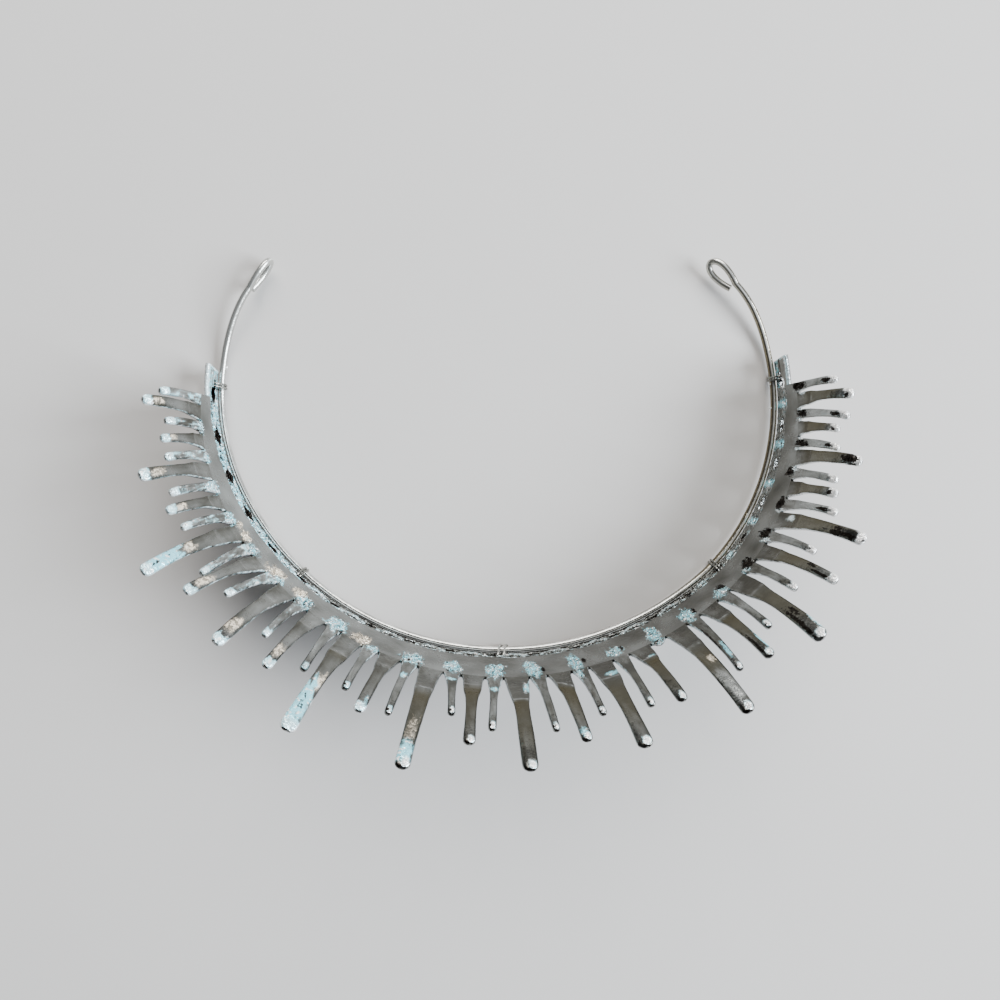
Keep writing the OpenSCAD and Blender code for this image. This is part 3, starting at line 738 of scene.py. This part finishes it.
    # A painted highlight runs along the crease.
    creaseLine = hill(u - crease, 0.008) * big * (1 - toLeft) * (1 - 0.5 * toRight)
    lift("pale", creaseLine * unit(0.50 + 0.8 * speckle))

    # A thin bright line runs along the edges that face the light, a dark one along the others.
    lit = np.where(toRight > 0.2, x < -0.95, np.where(toLeft > 0.2, x > 0.95, np.abs(x) > 0.96))
    rim = lit * (u > 0.02) * inner * unit(0.58 + 0.6 * speckle + 0.40 * toRight)
    lift("bright", rim * (1 - front * (1 - short * (u < 0.4))))
    lift("pale", 0.9 * rim * front)
    shade = np.where(toRight > 0.2, x > 0.93, (toLeft > 0.2) & (x < -0.93)) * (u > 0.1) * (tip < 0.5)
    zones["olive"] = unit(np.maximum(olive, shade * 0.9)) * np.where(inner, 1, 0.4)
    # The white zone holds painted highlights on the tips, the rims and the right side.
    whiter = tip * (0.25 + 0.75 * np.maximum(fade, toRight)) + 0.95 * rim
    zones["white"] = unit(whiter + 0.7 * toRight + 0.4 * shiny)
    zones["rough"] = unit(0.5 + cloud)
    zones["run"] = run * 0.001
    zones["height"] = t * 0.001
    return zones


points, faces, data = buildFringe()
zones = fringeZones(points, data)
# The plates are a little wavy and the crumpled places stand out.
wavy = ripple(points, 5.0, 5, 2) * fringe["waves"]
ridges = (0.35 - np.abs(ripple(points, 1.0, 6))) * fringe["ridges"]
crumple = (ridges + 0.2 * ripple(points, 0.55, 7)) * zones["crinkle"]
bend = fringe["tipLean"] - tiara["collarLean"]
lean = np.radians(tiara["collarLean"] + bend * unit(data["u"]))
heading = spot(data["run"])[:, 2]
normal = np.stack([np.sin(heading) * np.cos(lean), -np.cos(heading) * np.cos(lean), -np.sin(lean)], 1)
points = points - normal * ((wavy + crumple) * data["inward"])[:, None]
makePiece("collar_and_spikes", points, faces, castFinish, "cast_fringe", zones)


# Pierced gallery, and the sizes of the lashings that pass through it

gallery = {
    "step": 0.27,
    "top": 6.3,
    "railHeight": 1.0,
    "motifCount": 22,
    "almondLength": 3.8,
    "almondHeights": [3.0, 1.9, 1.9, 2.1],        # from the left half to the right half
    "almondHeightsAt": [-0.84, -0.60, 0.3, 0.6],  # shares of half the tiara's length
    "almondShare": 0.98,                          # how high the almonds' middle lies, of the motif's
    "beadHole": 0.9,
    "leafFoot": (0.6, -0.6),                      # beside and above the motif's middle
    "leafReach": (2.4, 1.55),                     # from there to the leaf's tip
    "ground": 0.34,                               # half thicknesses: pierced ground, post, top edge, all
    "postHalf": 0.46,
    "edgeHalf": 0.42,
    "mostHalf": 0.84,
    "postSlant": (0.9, 0.5),
    "railRelief": 0.20,                           # how far each stands out of the ground
    "ribbonRelief": 0.22,
    "budRelief": 0.5,
    "leafRelief": 0.48,
    "lipRelief": 0.16,
    "roughRelief": 0.13,                          # unevenness of the casting
}

lashings = {
    "turns": 2,
    "rows": [
        {"node": "left_end_lashing", "place": -0.968, "pitch": 1.4, "slant": False},
        {"node": "left_lashing", "place": -0.505, "pitch": 1.4, "slant": False},
        {"node": "front_lashing", "place": -0.023, "pitch": 2.8, "slant": True},
        {"node": "right_lashing", "place": 0.505, "pitch": 1.4, "slant": False},
        {"node": "right_end_lashing", "place": 0.963, "pitch": 1.4, "slant": False},
    ],
    "beltPoints": 36,
    "wear": 0.06,                                 # how uneven the wire's radius is, as a share
    "sides": 12,
    # whiteness: painted highlight on each lashing.
    "whiteness": {True: 0.45, False: 0.1},        # of the slanting one and the others
}


def galleryRelief(ss, tt):
    # Holes and relief at run and height; holes are distance shares, 1 on the outline.
    g = gallery
    half = tiara["halfLength"]
    motifLength = 2 * half / (g["motifCount"] + 0.2)
    motifT = (footT + g["railHeight"] + tiara["galleryHeight"]) / 2
    k = np.round(ss / motifLength)
    local = ss - k * motifLength
    inside = np.abs(k) < g["motifCount"] / 2
    ka = np.floor(ss / motifLength)
    la = ss - (ka + 0.5) * motifLength
    wobble = 0.22 * np.sin(3.1 * ka + 2.3 * la) + 0.14 * np.sin(7.7 * ka + 4.4 * la)
    almondT = g["almondShare"] * motifT
    tall = np.interp(ss / half, g["almondHeightsAt"], g["almondHeights"])
    upDown = tall / 2 * (1 + 0.22 * np.sin(5.3 * ka))
    lengthways = g["almondLength"] / 2 * (1 + 0.12 * np.sin(2.9 * ka))
    almond = (np.abs(la) / lengthways) ** 1.35 + (np.abs(tt - almondT - 0.35 * wobble) / upDown) ** 1.7
    noHole = 9      # far outside every outline
    almond = np.where(np.abs(ka + 0.5) < g["motifCount"] / 2, almond, noHole)
    beadT = motifT + 0.16 * tiara["galleryHeight"]
    bead = np.where(inside, (np.hypot(local, tt - beadT) / (g["beadHole"] / 2)) ** 2, noHole)
    hole = np.minimum(almond, bead)

    # Relief: rail, ribbon, leaves and buds over a thinner ground.
    rail = g["railRelief"] * unit(1 - (np.abs(tt - footT - 0.5) / 0.62) ** 4)
    ribbonT = tiara["galleryHeight"] - 0.25 + 0.18 * np.cos(2 * np.pi * ss / motifLength)
    ribbon = g["ribbonRelief"] * unit(1 - ((tt - ribbonT) / 0.42) ** 2)
    leaves = g["budRelief"] * unit(1 - np.hypot(local / 0.62, (tt - motifT + 0.45) / 0.8) ** 2) ** 0.6
    (footX, footZ), (reachX, reachZ) = g["leafFoot"], g["leafReach"]
    for side in (-1, 1):
        px, pz = side * local - footX, tt - motifT - footZ
        h = np.clip((px * reachX + pz * reachZ) / (reachX ** 2 + reachZ ** 2), 0, 1.1)
        dist = np.hypot(px - h * reachX, pz - h * reachZ)
        leaf = unit(1 - (dist / (0.85 - 0.3 * h)) ** 2) ** 0.7 * (1 - 0.35 * hill(dist, 0.12))
        leaves = np.maximum(leaves, g["leafRelief"] * leaf)
    lip = g["lipRelief"] * hill(hole - 1.35, 0.35)
    relief = g["ground"] + np.maximum(np.maximum(rail, ribbon), leaves * inside) + lip
    post = np.abs(ss) > half - tiara["postLength"]
    cast = ripple(wallPoint(ss.ravel(), tt.ravel(), 0), 0.9, 11).reshape(ss.shape) * g["roughRelief"]
    fade = unit((g["top"] - tt) / 0.25)
    relief = g["edgeHalf"] + (relief + cast - g["edgeHalf"]) * fade
    relief = np.minimum(np.where(post, g["postHalf"] + 0.25 * cast, relief), g["mostHalf"])

    # Each hole's middle, and how far a point moves from it to reach the outline.
    byAlmond = almond <= bead
    pull = np.clip(hole ** np.where(byAlmond, -1 / 1.5, -1 / 2), 0.82, 1.22)
    return {"s": ss, "t": tt, "hole": hole, "relief": relief, "post": post, "pull": pull,
            "heart": inside * hill(local, 0.9), "holeS": np.where(byAlmond, ka + 0.5, k) * motifLength,
            "holeT": np.where(byAlmond, almondT, beadT)}


def galleryOpenings(field):
    # The grid's open cells: holes, and eyes that the lashings pass through.
    hole, lash = field["hole"], tiara["lashThickness"]
    up = field["t"] - footT - gallery["railHeight"]
    eyes = np.zeros(hole.shape, bool)
    for row in lashings["rows"]:
        wide = (lashings["turns"] * row["pitch"] + 1) * lash + 4 * tiara["gap"]
        beside = np.abs(field["s"] - row["place"] * tiara["halfLength"]) < wide / 2
        eyes |= beside & (up > 0) & (up < 2 * lash + 3 * tiara["gap"])
    meanHole = (hole[:-1, :-1] + hole[1:, :-1] + hole[:-1, 1:] + hole[1:, 1:]) / 4
    return (meanHole < 1) | (eyes[:-1, :-1] & eyes[1:, 1:])


def galleryZones(points, field):
    # Where the gallery is bright, dark, olive, pale or crumpled, on all four sets of points: painted
    # highlights on the relief, rail, edges and posts, painted shade in the low ground, round the holes,
    # beside the wire and on the hole walls.
    half = tiara["halfLength"]
    share, high, lumps, post, hole, heart = (
        np.tile(field[name].ravel(), 4) for name in ("s", "t", "relief", "post", "hole", "heart"))
    share = share / half
    holeWall = np.repeat([0.0, 1.0], 2 * field["s"].size)
    outerSide = np.tile(np.repeat([0.0, 1.0], field["s"].size), 2)
    speckle = ripple(points, 0.9, 12)
    toLeft = unit((-share - 0.30) / 0.3)
    toRight = unit((share - 0.35) / 0.3)
    front = (1 - toLeft) * (1 - toRight)
    onRight = share > 0
    low = unit((0.52 - lumps) / 0.2)
    lump = unit((lumps - 0.40) / 0.2)
    lip = unit((1.55 - hole) / 0.2)
    edge = unit((high - tiara["galleryHeight"] + 0.1) / 0.2)
    patchy = unit(0.55 + 0.9 * ripple(points, 4.0, 13, 2))
    railTop = hill(high - footT - 1.5, 0.5)
    beside = unit((footT + 1.0 - high) / 0.3) * front * (1 - post)
    # Painted highlights on the raised relief, the rail top, the top edge and the motif hearts.
    bright = toLeft * (0.62 + 0.35 * lump + 0.3 * speckle) + front * (lump * 0.95 + 0.35 * speckle - 0.12)
    bright = bright + toRight * (0.10 + 0.9 * heart + 0.30 * speckle) - 2 * lip
    bright = bright + front * (0.6 * railTop * patchy + 0.6 * edge * patchy - 0.25) - 2 * beside
    postEdge = unit((high - tiara["postHeight"] + 0.8) / 0.3)
    postEdge = np.maximum(postEdge, unit((np.abs(share) - 1) * half / 0.15 + 3))
    postFoot = unit((3.6 - high) / 0.3)
    groove = hill(high - 4.1, 0.22) * onRight
    plain = np.where(share < 0, 0.50, 0.55 * postFoot) + 0.35 * speckle * np.maximum(share < 0, postFoot)
    bright = np.where(post, plain + 0.7 * postEdge - groove, bright)
    # Painted shade in the low ground, round the holes and beside the wire.
    dark = front * (0.15 + low * 0.75 + 0.4 * speckle) + toRight * (-0.02 + 0.40 * speckle - 0.3 * heart)
    dark = dark * (1 - 0.8 * railTop * front) + toLeft * (0.22 + 0.6 * speckle)
    dark = np.maximum(dark, 0.85 * beside)
    dark = unit(np.maximum(dark, 1.3 * lip * (1 - 0.6 * front) * (1 - toRight)))
    return {
        "crinkle": np.where(post, 0.3 - 0.25 * onRight, 0.85 - 0.4 * toRight),
        "olive": np.clip(0.30 * toRight + 0.2 * front, 0, 0.9) * (1 - holeWall),
        "pale": unit(0.30 + 0.5 * toLeft + 0.40 * toRight + 0.3 * speckle + 0.9 * front * railTop),
        "bright": np.clip(bright, 0, 1.1) * (1 - holeWall) * (1 - 0.5 * outerSide),
        "dark": np.maximum(np.where(post, groove, dark), (1.8 - 1.3 * toRight) * holeWall),
        "cream": np.zeros(len(points)),
        "white": unit(0.55 * front + 0.5 * postEdge * post + 0.5 * outerSide),
        "rough": np.full(len(points), 0.5),
        "run": share * half * 0.001,
        "height": high * 0.001,
    }


def buildGallery():
    g = gallery
    half = tiara["halfLength"]
    body = half - tiara["postLength"]
    columns = int(2 * half / g["step"])
    rows = int((g["top"] - footT) / g["step"])
    s = np.linspace(-half, half, columns + 1)
    top = np.where(np.abs(s) > body, tiara["postHeight"], g["top"])
    tt = footT + np.linspace(0, 1, rows + 1)[:, None] * (top[None, :] - footT)
    ss = np.repeat(s[None, :], rows + 1, 0)
    field = galleryRelief(ss, tt)
    opened = galleryOpenings(field)

    # Corners on a hole's rim move onto its outline.
    pad = np.pad(opened, 1)
    around = [pad[:-1, :-1], pad[1:, :-1], pad[:-1, 1:], pad[1:, 1:]]
    rim = np.any(around, 0) & ~np.all(around, 0) & (field["hole"] < 1.9) & (field["hole"] > 0.35)
    ss = np.where(rim, field["holeS"] + (ss - field["holeS"]) * field["pull"], ss)
    tt = np.where(rim, field["holeT"] + (tt - field["holeT"]) * field["pull"], tt)
    # The posts' ends slant: their upper corners reach further.
    beyond = unit((np.abs(ss) - body) / tiara["postLength"]) * (tt - footT) / (tiara["postHeight"] - footT)
    ss = ss + beyond * np.where(ss < 0, -g["postSlant"][0], g["postSlant"][1])

    relief = field["relief"].ravel()
    inner = wallPoint(ss.ravel(), tt.ravel(), -relief)
    outer = wallPoint(ss.ravel(), tt.ravel(), relief)
    # Walls round the openings have corners of their own, so that they can carry painted shade.
    points = np.concatenate([inner, outer, inner, outer])
    a = np.arange(ss.size).reshape(ss.shape)
    b = a + ss.size
    faces = []
    closed = ~opened
    wide = np.pad(closed, 1)
    outside = np.pad(np.zeros(closed.shape, bool), 1, constant_values=True)
    for i, j in zip(*np.nonzero(closed)):
        faces.append((a[i, j], a[i, j + 1], a[i + 1, j + 1], a[i + 1, j]))
        faces.append((b[i, j], b[i + 1, j], b[i + 1, j + 1], b[i, j + 1]))
    # Each neighbour's step and the two corners of the edge that it shares.
    edges = [(0, -1, 1, 0, 0, 0), (0, 1, 0, 1, 1, 1), (-1, 0, 0, 0, 0, 1), (1, 0, 1, 1, 1, 0)]
    for i, j in zip(*np.nonzero(closed)):
        for di, dj, i0, j0, i1, j1 in edges:
            if wide[i + 1 + di, j + 1 + dj]:
                continue
            own = 0 if outside[i + 1 + di, j + 1 + dj] else 2 * ss.size
            p, q = own + a[i + i0, j + j0], own + a[i + i1, j + j1]
            faces.append((q, p, p + ss.size, q + ss.size))
    zones = galleryZones(points, field)

    # Corners that no face uses are left out.
    used = np.unique(np.array(faces))
    renumber = -np.ones(len(points), int)
    renumber[used] = np.arange(len(used))
    faces = [tuple(int(i) for i in f) for f in renumber[np.array(faces)]]
    return points[used], faces, {name: values[used] for name, values in zones.items()}


points, faces, zones = buildGallery()
makePiece("pierced_gallery", points, faces, castFinish, "cast_fringe", zones)


# Lashings: two turns of thin wire round the head wire and the rail

def sweepTube(path, radius, sides):
    # A closed tube along a path; its radius may change along it.
    path = np.asarray(path, float)
    n = len(path)
    radius = np.broadcast_to(radius, (n,))
    ahead = np.gradient(path, axis=0)
    ahead /= np.linalg.norm(ahead, axis=1)[:, None]
    side = np.cross(ahead[0], [0, 0, 1.0] if abs(ahead[0][2]) < 0.9 else [1.0, 0, 0])
    angles = 2 * np.pi * np.arange(sides)[:, None] / sides
    rings = []
    for i in range(n):
        side = side - np.dot(side, ahead[i]) * ahead[i]
        side /= np.linalg.norm(side)
        other = np.cross(ahead[i], side)
        rings.append(path[i] + radius[i] * (np.cos(angles) * side + np.sin(angles) * other))
    faces = []
    for i in range(n - 1):
        for j in range(sides):
            k = (j + 1) % sides
            faces.append((i * sides + j, i * sides + k, (i + 1) * sides + k, (i + 1) * sides + j))
    faces.append(tuple(range(sides))[::-1])
    faces.append(tuple(range((n - 1) * sides, n * sides)))
    return np.concatenate(rings), faces


def smoothPath(path):
    for _ in range(2):
        path[1:-1] = (path[:-2] + 2 * path[1:-1] + path[2:]) / 4
    return path


def lashingPath(row):
    # Across, it is a belt round the wire and the rail, from points that reach furthest each way.
    _, reach, rise = wallCurve(footT + gallery["railHeight"] / 2)
    railRadius = math.hypot(tiara["wallThickness"], gallery["railHeight"]) / 2
    clear = tiara["gap"] + lashRadius
    n = lashings["beltPoints"]
    a = np.radians(20 + 360 * np.arange(n) / n)
    u = np.stack([np.cos(a), np.sin(a)], 1)
    near = [0, wireZ] + (wireRadius + clear) * u
    far = [reach, rise] + (railRadius + clear) * u
    belt = np.where(((near - far) * u).sum(1)[:, None] > 0, near, far)
    i = np.arange(lashings["turns"] * n + 1)
    share = (i % n) / n
    gathered = unit((share - 0.15) / 0.4) if row["slant"] else share
    turn = i // n + gathered - lashings["turns"] / 2
    run = row["place"] * tiara["halfLength"] + row["pitch"] * tiara["lashThickness"] * turn
    return smoothPath(place(run, belt[i % n, 0], belt[i % n, 1]))


for row in lashings["rows"]:
    path = lashingPath(row)
    wear = 1 + lashings["wear"] * ripple(path, 1.2, 20)
    points, faces = sweepTube(path, lashRadius * wear, lashings["sides"])
    # White is a painted highlight; the dark specks are random.
    makePiece(row["node"] + "_wire", points, faces, lashFinish, row["node"], {
        "olive": np.full(len(points), 0.1),
        "white": np.full(len(points), lashings["whiteness"][row["slant"]]),
        "sootAndShade": unit(0.6 * ripple(points, 0.7, 22))})


# Head wire

headWire = {
    "armLength": 20.5,
    "armRise": 2.9,
    "loopLength": 8.0,
    "loopBulge": 1.3,
    "rightLoopLean": 40.0,
    "wear": 0.02,
    "sides": 32,
    "frontPoints": 260,
    "armPoints": 24,
    "loopPoints": 60,
}


def headWirePath():
    w = headWire
    run = tiara["halfLength"] + tiara["wallThickness"]
    far = run + w["armLength"]
    low = np.linspace(-run, run, w["frontPoints"])
    arm = np.linspace(0, 1, w["armPoints"] + 1)[1:]
    armZ = wireZ + w["armRise"] * arm ** 2 * (3 - 2 * arm)
    s = np.concatenate([-run - arm[::-1] * w["armLength"], low, run + arm * w["armLength"]])
    z = np.concatenate([armZ[::-1], low * 0 + wireZ, armZ])

    def loop(end, lean):
        h = spot([end])[0, 2]
        ahead = np.array([math.cos(h), math.sin(h), 0]) * np.sign(end)
        side = np.array([math.sin(lean) * math.sin(h), -math.sin(lean) * math.cos(h), math.cos(lean)])
        u = 2 * np.pi * np.arange(1, w["loopPoints"] + 1)[:, None] / w["loopPoints"]
        closing = (tiara["wireThickness"] + 2.5 * tiara["gap"]) * (1 - np.cos(u / 2)) / 2
        bulge = 1.3 * w["loopBulge"] * np.sin(u) * np.sin(u / 2) - closing
        start = place([end], 0, wireZ + w["armRise"])
        return start + ahead * w["loopLength"] * (1 - np.cos(u)) / 2 + side * bulge

    left, right = loop(-far, 0.0), loop(far, math.radians(w["rightLoopLean"]))
    return smoothPath(np.concatenate([left[::-1], place(s, 0, z), right]))


def wireZones(middle, away):
    # A painted highlight runs along the top, painted shade where the wire meets the rail, a bronze painted
    # reflection on the right.
    radial = middle[:, :2] / np.linalg.norm(middle[:, :2], axis=1)[:, None]
    facesOut = (away[:, :2] * radial).sum(1)
    facesUp = away[:, 2]
    streak = ripple(middle, 5.0, 23)
    x, y = middle[:, 0], middle[:, 1]
    rightArm, backHalf = unit((x - 50) / 14), unit((y + 8) / 6)
    rightFront, leftFront = unit((x - 25) / 25), unit((-x - 25) / 25)
    frontPart = (1 - rightFront) * (1 - backHalf)
    centre = -0.50 * leftFront - 0.12 * rightFront - 0.56 * (1 - leftFront) * (1 - rightFront)
    white = hill(facesOut - centre, 0.24) * (facesUp > 0) * (0.9 + 0.2 * streak)
    white = np.maximum(white, 0.35 * backHalf * (1 - rightArm))
    white = np.maximum(white, frontPart * (facesUp > 0) * unit(0.48 + 0.3 * streak))
    return {
        "olive": 0.85 * np.maximum(rightArm, rightFront) * unit(1 - 1.2 * white),
        "white": unit(white),
        # Painted shade where the wire meets the rail.
        "sootAndShade": unit(unit((facesOut - 0.70) / 0.15) * (1 - backHalf) * 0.85),
        "side": facesOut,
        "front": frontPart * unit(facesUp / 0.3),
    }


path = headWirePath()
wear = 1 + headWire["wear"] * ripple(path, 6.0, 21)
points, faces = sweepTube(path, wireRadius * wear, headWire["sides"])
middle = np.repeat(path, headWire["sides"], 0)
zones = wireZones(middle, (points - middle) / wireRadius)
makePiece("head_wire_round", points, faces, wireFinish, "head_wire", zones)


# Small drops of solder on the inner side of the wire

drops = {
    "places": [(-110.3, 0.30), (103.6, 0.26), (97.6, 0.26)],    # run along the wire, radius
    "rings": 8,
    "above": 0.25,                                              # the wire's middle
}


def buildDrops():
    points, faces = [], []
    for run, radius in drops["places"]:
        centre = place([run], -wireRadius - 0.3 * radius, wireZ + drops["above"])
        a = np.pi * (0.02 + 0.96 * np.linspace(0, 1, drops["rings"] + 1))
        path = centre - radius * np.cos(a)[:, None] * [0, 0, 1]
        ball, strips = sweepTube(path, radius * np.sin(a), 2 * drops["rings"])
        faces += [tuple(len(points) + i for i in face) for face in strips]
        points.extend(ball)
    return points, faces


points, faces = buildDrops()
makePiece("solder_drops", points, faces, wireFinish, "head_wire", {
    "olive": np.zeros(len(points)), "white": np.ones(len(points)), "sootAndShade": np.zeros(len(points))})


# Floor, light and camera

surroundings = {
    "floorColour": (0.62, 0.60, 0.58),
    "floorHalf": 3.0,
    "worldColour": (0.80, 0.84, 0.90),
    "worldStrength": 0.16,
    "lightsAim": (0, -0.02, 0.02),
    # Name, place and size in metres, power, colour.
    "panels": [
        ("windowPanel", (1.15, -0.20, 0.72), (0.80, 0.70), 56.0, (0.86, 0.93, 1.0)),
        ("ceilingPanel", (0.05, 1.00, 0.85), (1.1, 0.8), 26.0, (1.0, 0.98, 0.95)),
    ],
}


def buildFloor():
    n = Nodes("paleFloor")
    where = n.add("ShaderNodeTexCoord").outputs["Object"]
    colour = surroundings["floorColour"]
    n.link(n.mix(n.noise(where, 40.0, 2.0), toned(colour, 0.97), colour), "Base Color")
    n.shader.inputs["Roughness"].default_value = 0.9
    mesh = bpy.data.meshes.new("floor")
    size = surroundings["floorHalf"]
    corners = [(-size, -size, 0), (size, -size, 0), (size, size, 0), (-size, size, 0)]
    mesh.from_pydata(corners, [], [(0, 1, 2, 3)])
    mesh.materials.append(n.material)
    floor = bpy.data.objects.new("floor", mesh)
    bpy.context.scene.collection.objects.link(floor)


def lightScene():
    world = bpy.data.worlds.new("studio")
    world.use_nodes = True
    background = world.node_tree.nodes["Background"]
    background.inputs["Color"].default_value = (*surroundings["worldColour"], 1)
    background.inputs["Strength"].default_value = surroundings["worldStrength"]
    bpy.context.scene.world = world
    for name, where, size, power, colour in surroundings["panels"]:
        light = bpy.data.lights.new(name, "AREA")
        light.shape = "RECTANGLE"
        light.size, light.size_y = size
        light.energy = power
        light.color = colour
        panel = bpy.data.objects.new(name, light)
        panel.location = where
        towards = Vector(surroundings["lightsAim"]) - Vector(where)
        panel.rotation_euler = towards.to_track_quat("-Z", "Y").to_euler()
        bpy.context.scene.collection.objects.link(panel)


camera = {
    "place": (-10.03, -36.30, 184.55),   # millimetres
    "sensorWidth": 36.0,
    "focalPixels": 751.0,
    "imagePixels": 1000.0,
    "straightDown": (468.0, 520.0),      # the pixel under the camera
    "turn": 1.303,                       # of the picture's right against +X, in degrees
}


def aimCamera():
    x, y = (pixel - camera["imagePixels"] / 2 for pixel in camera["straightDown"])
    down = Vector((x, y, camera["focalPixels"])).normalized()
    right = Vector((1, 0, 0))
    right = (right - right.dot(down) * down).normalized()
    up = -down
    ahead = up.cross(right)
    turn = Matrix.Rotation(-math.radians(camera["turn"]), 3, "Z")
    # Rows: the camera's right, down and forward in the tiara's own directions.
    rows = [turn @ Vector((right[i], ahead[i], up[i])) for i in range(3)]
    basis = Matrix((rows[0], -rows[1], -rows[2])).transposed().to_4x4()
    lens = bpy.data.cameras.new("camera")
    lens.sensor_width = camera["sensorWidth"]
    lens.lens = camera["focalPixels"] / camera["imagePixels"] * camera["sensorWidth"]
    lens.clip_start = 0.005
    view = bpy.data.objects.new("camera", lens)
    view.matrix_world = Matrix.Translation(Vector(camera["place"]) * 0.001) @ basis
    bpy.context.scene.collection.objects.link(view)
    bpy.context.scene.camera = view


buildFloor()
lightScene()
aimCamera()
print("floor, light and camera are set")
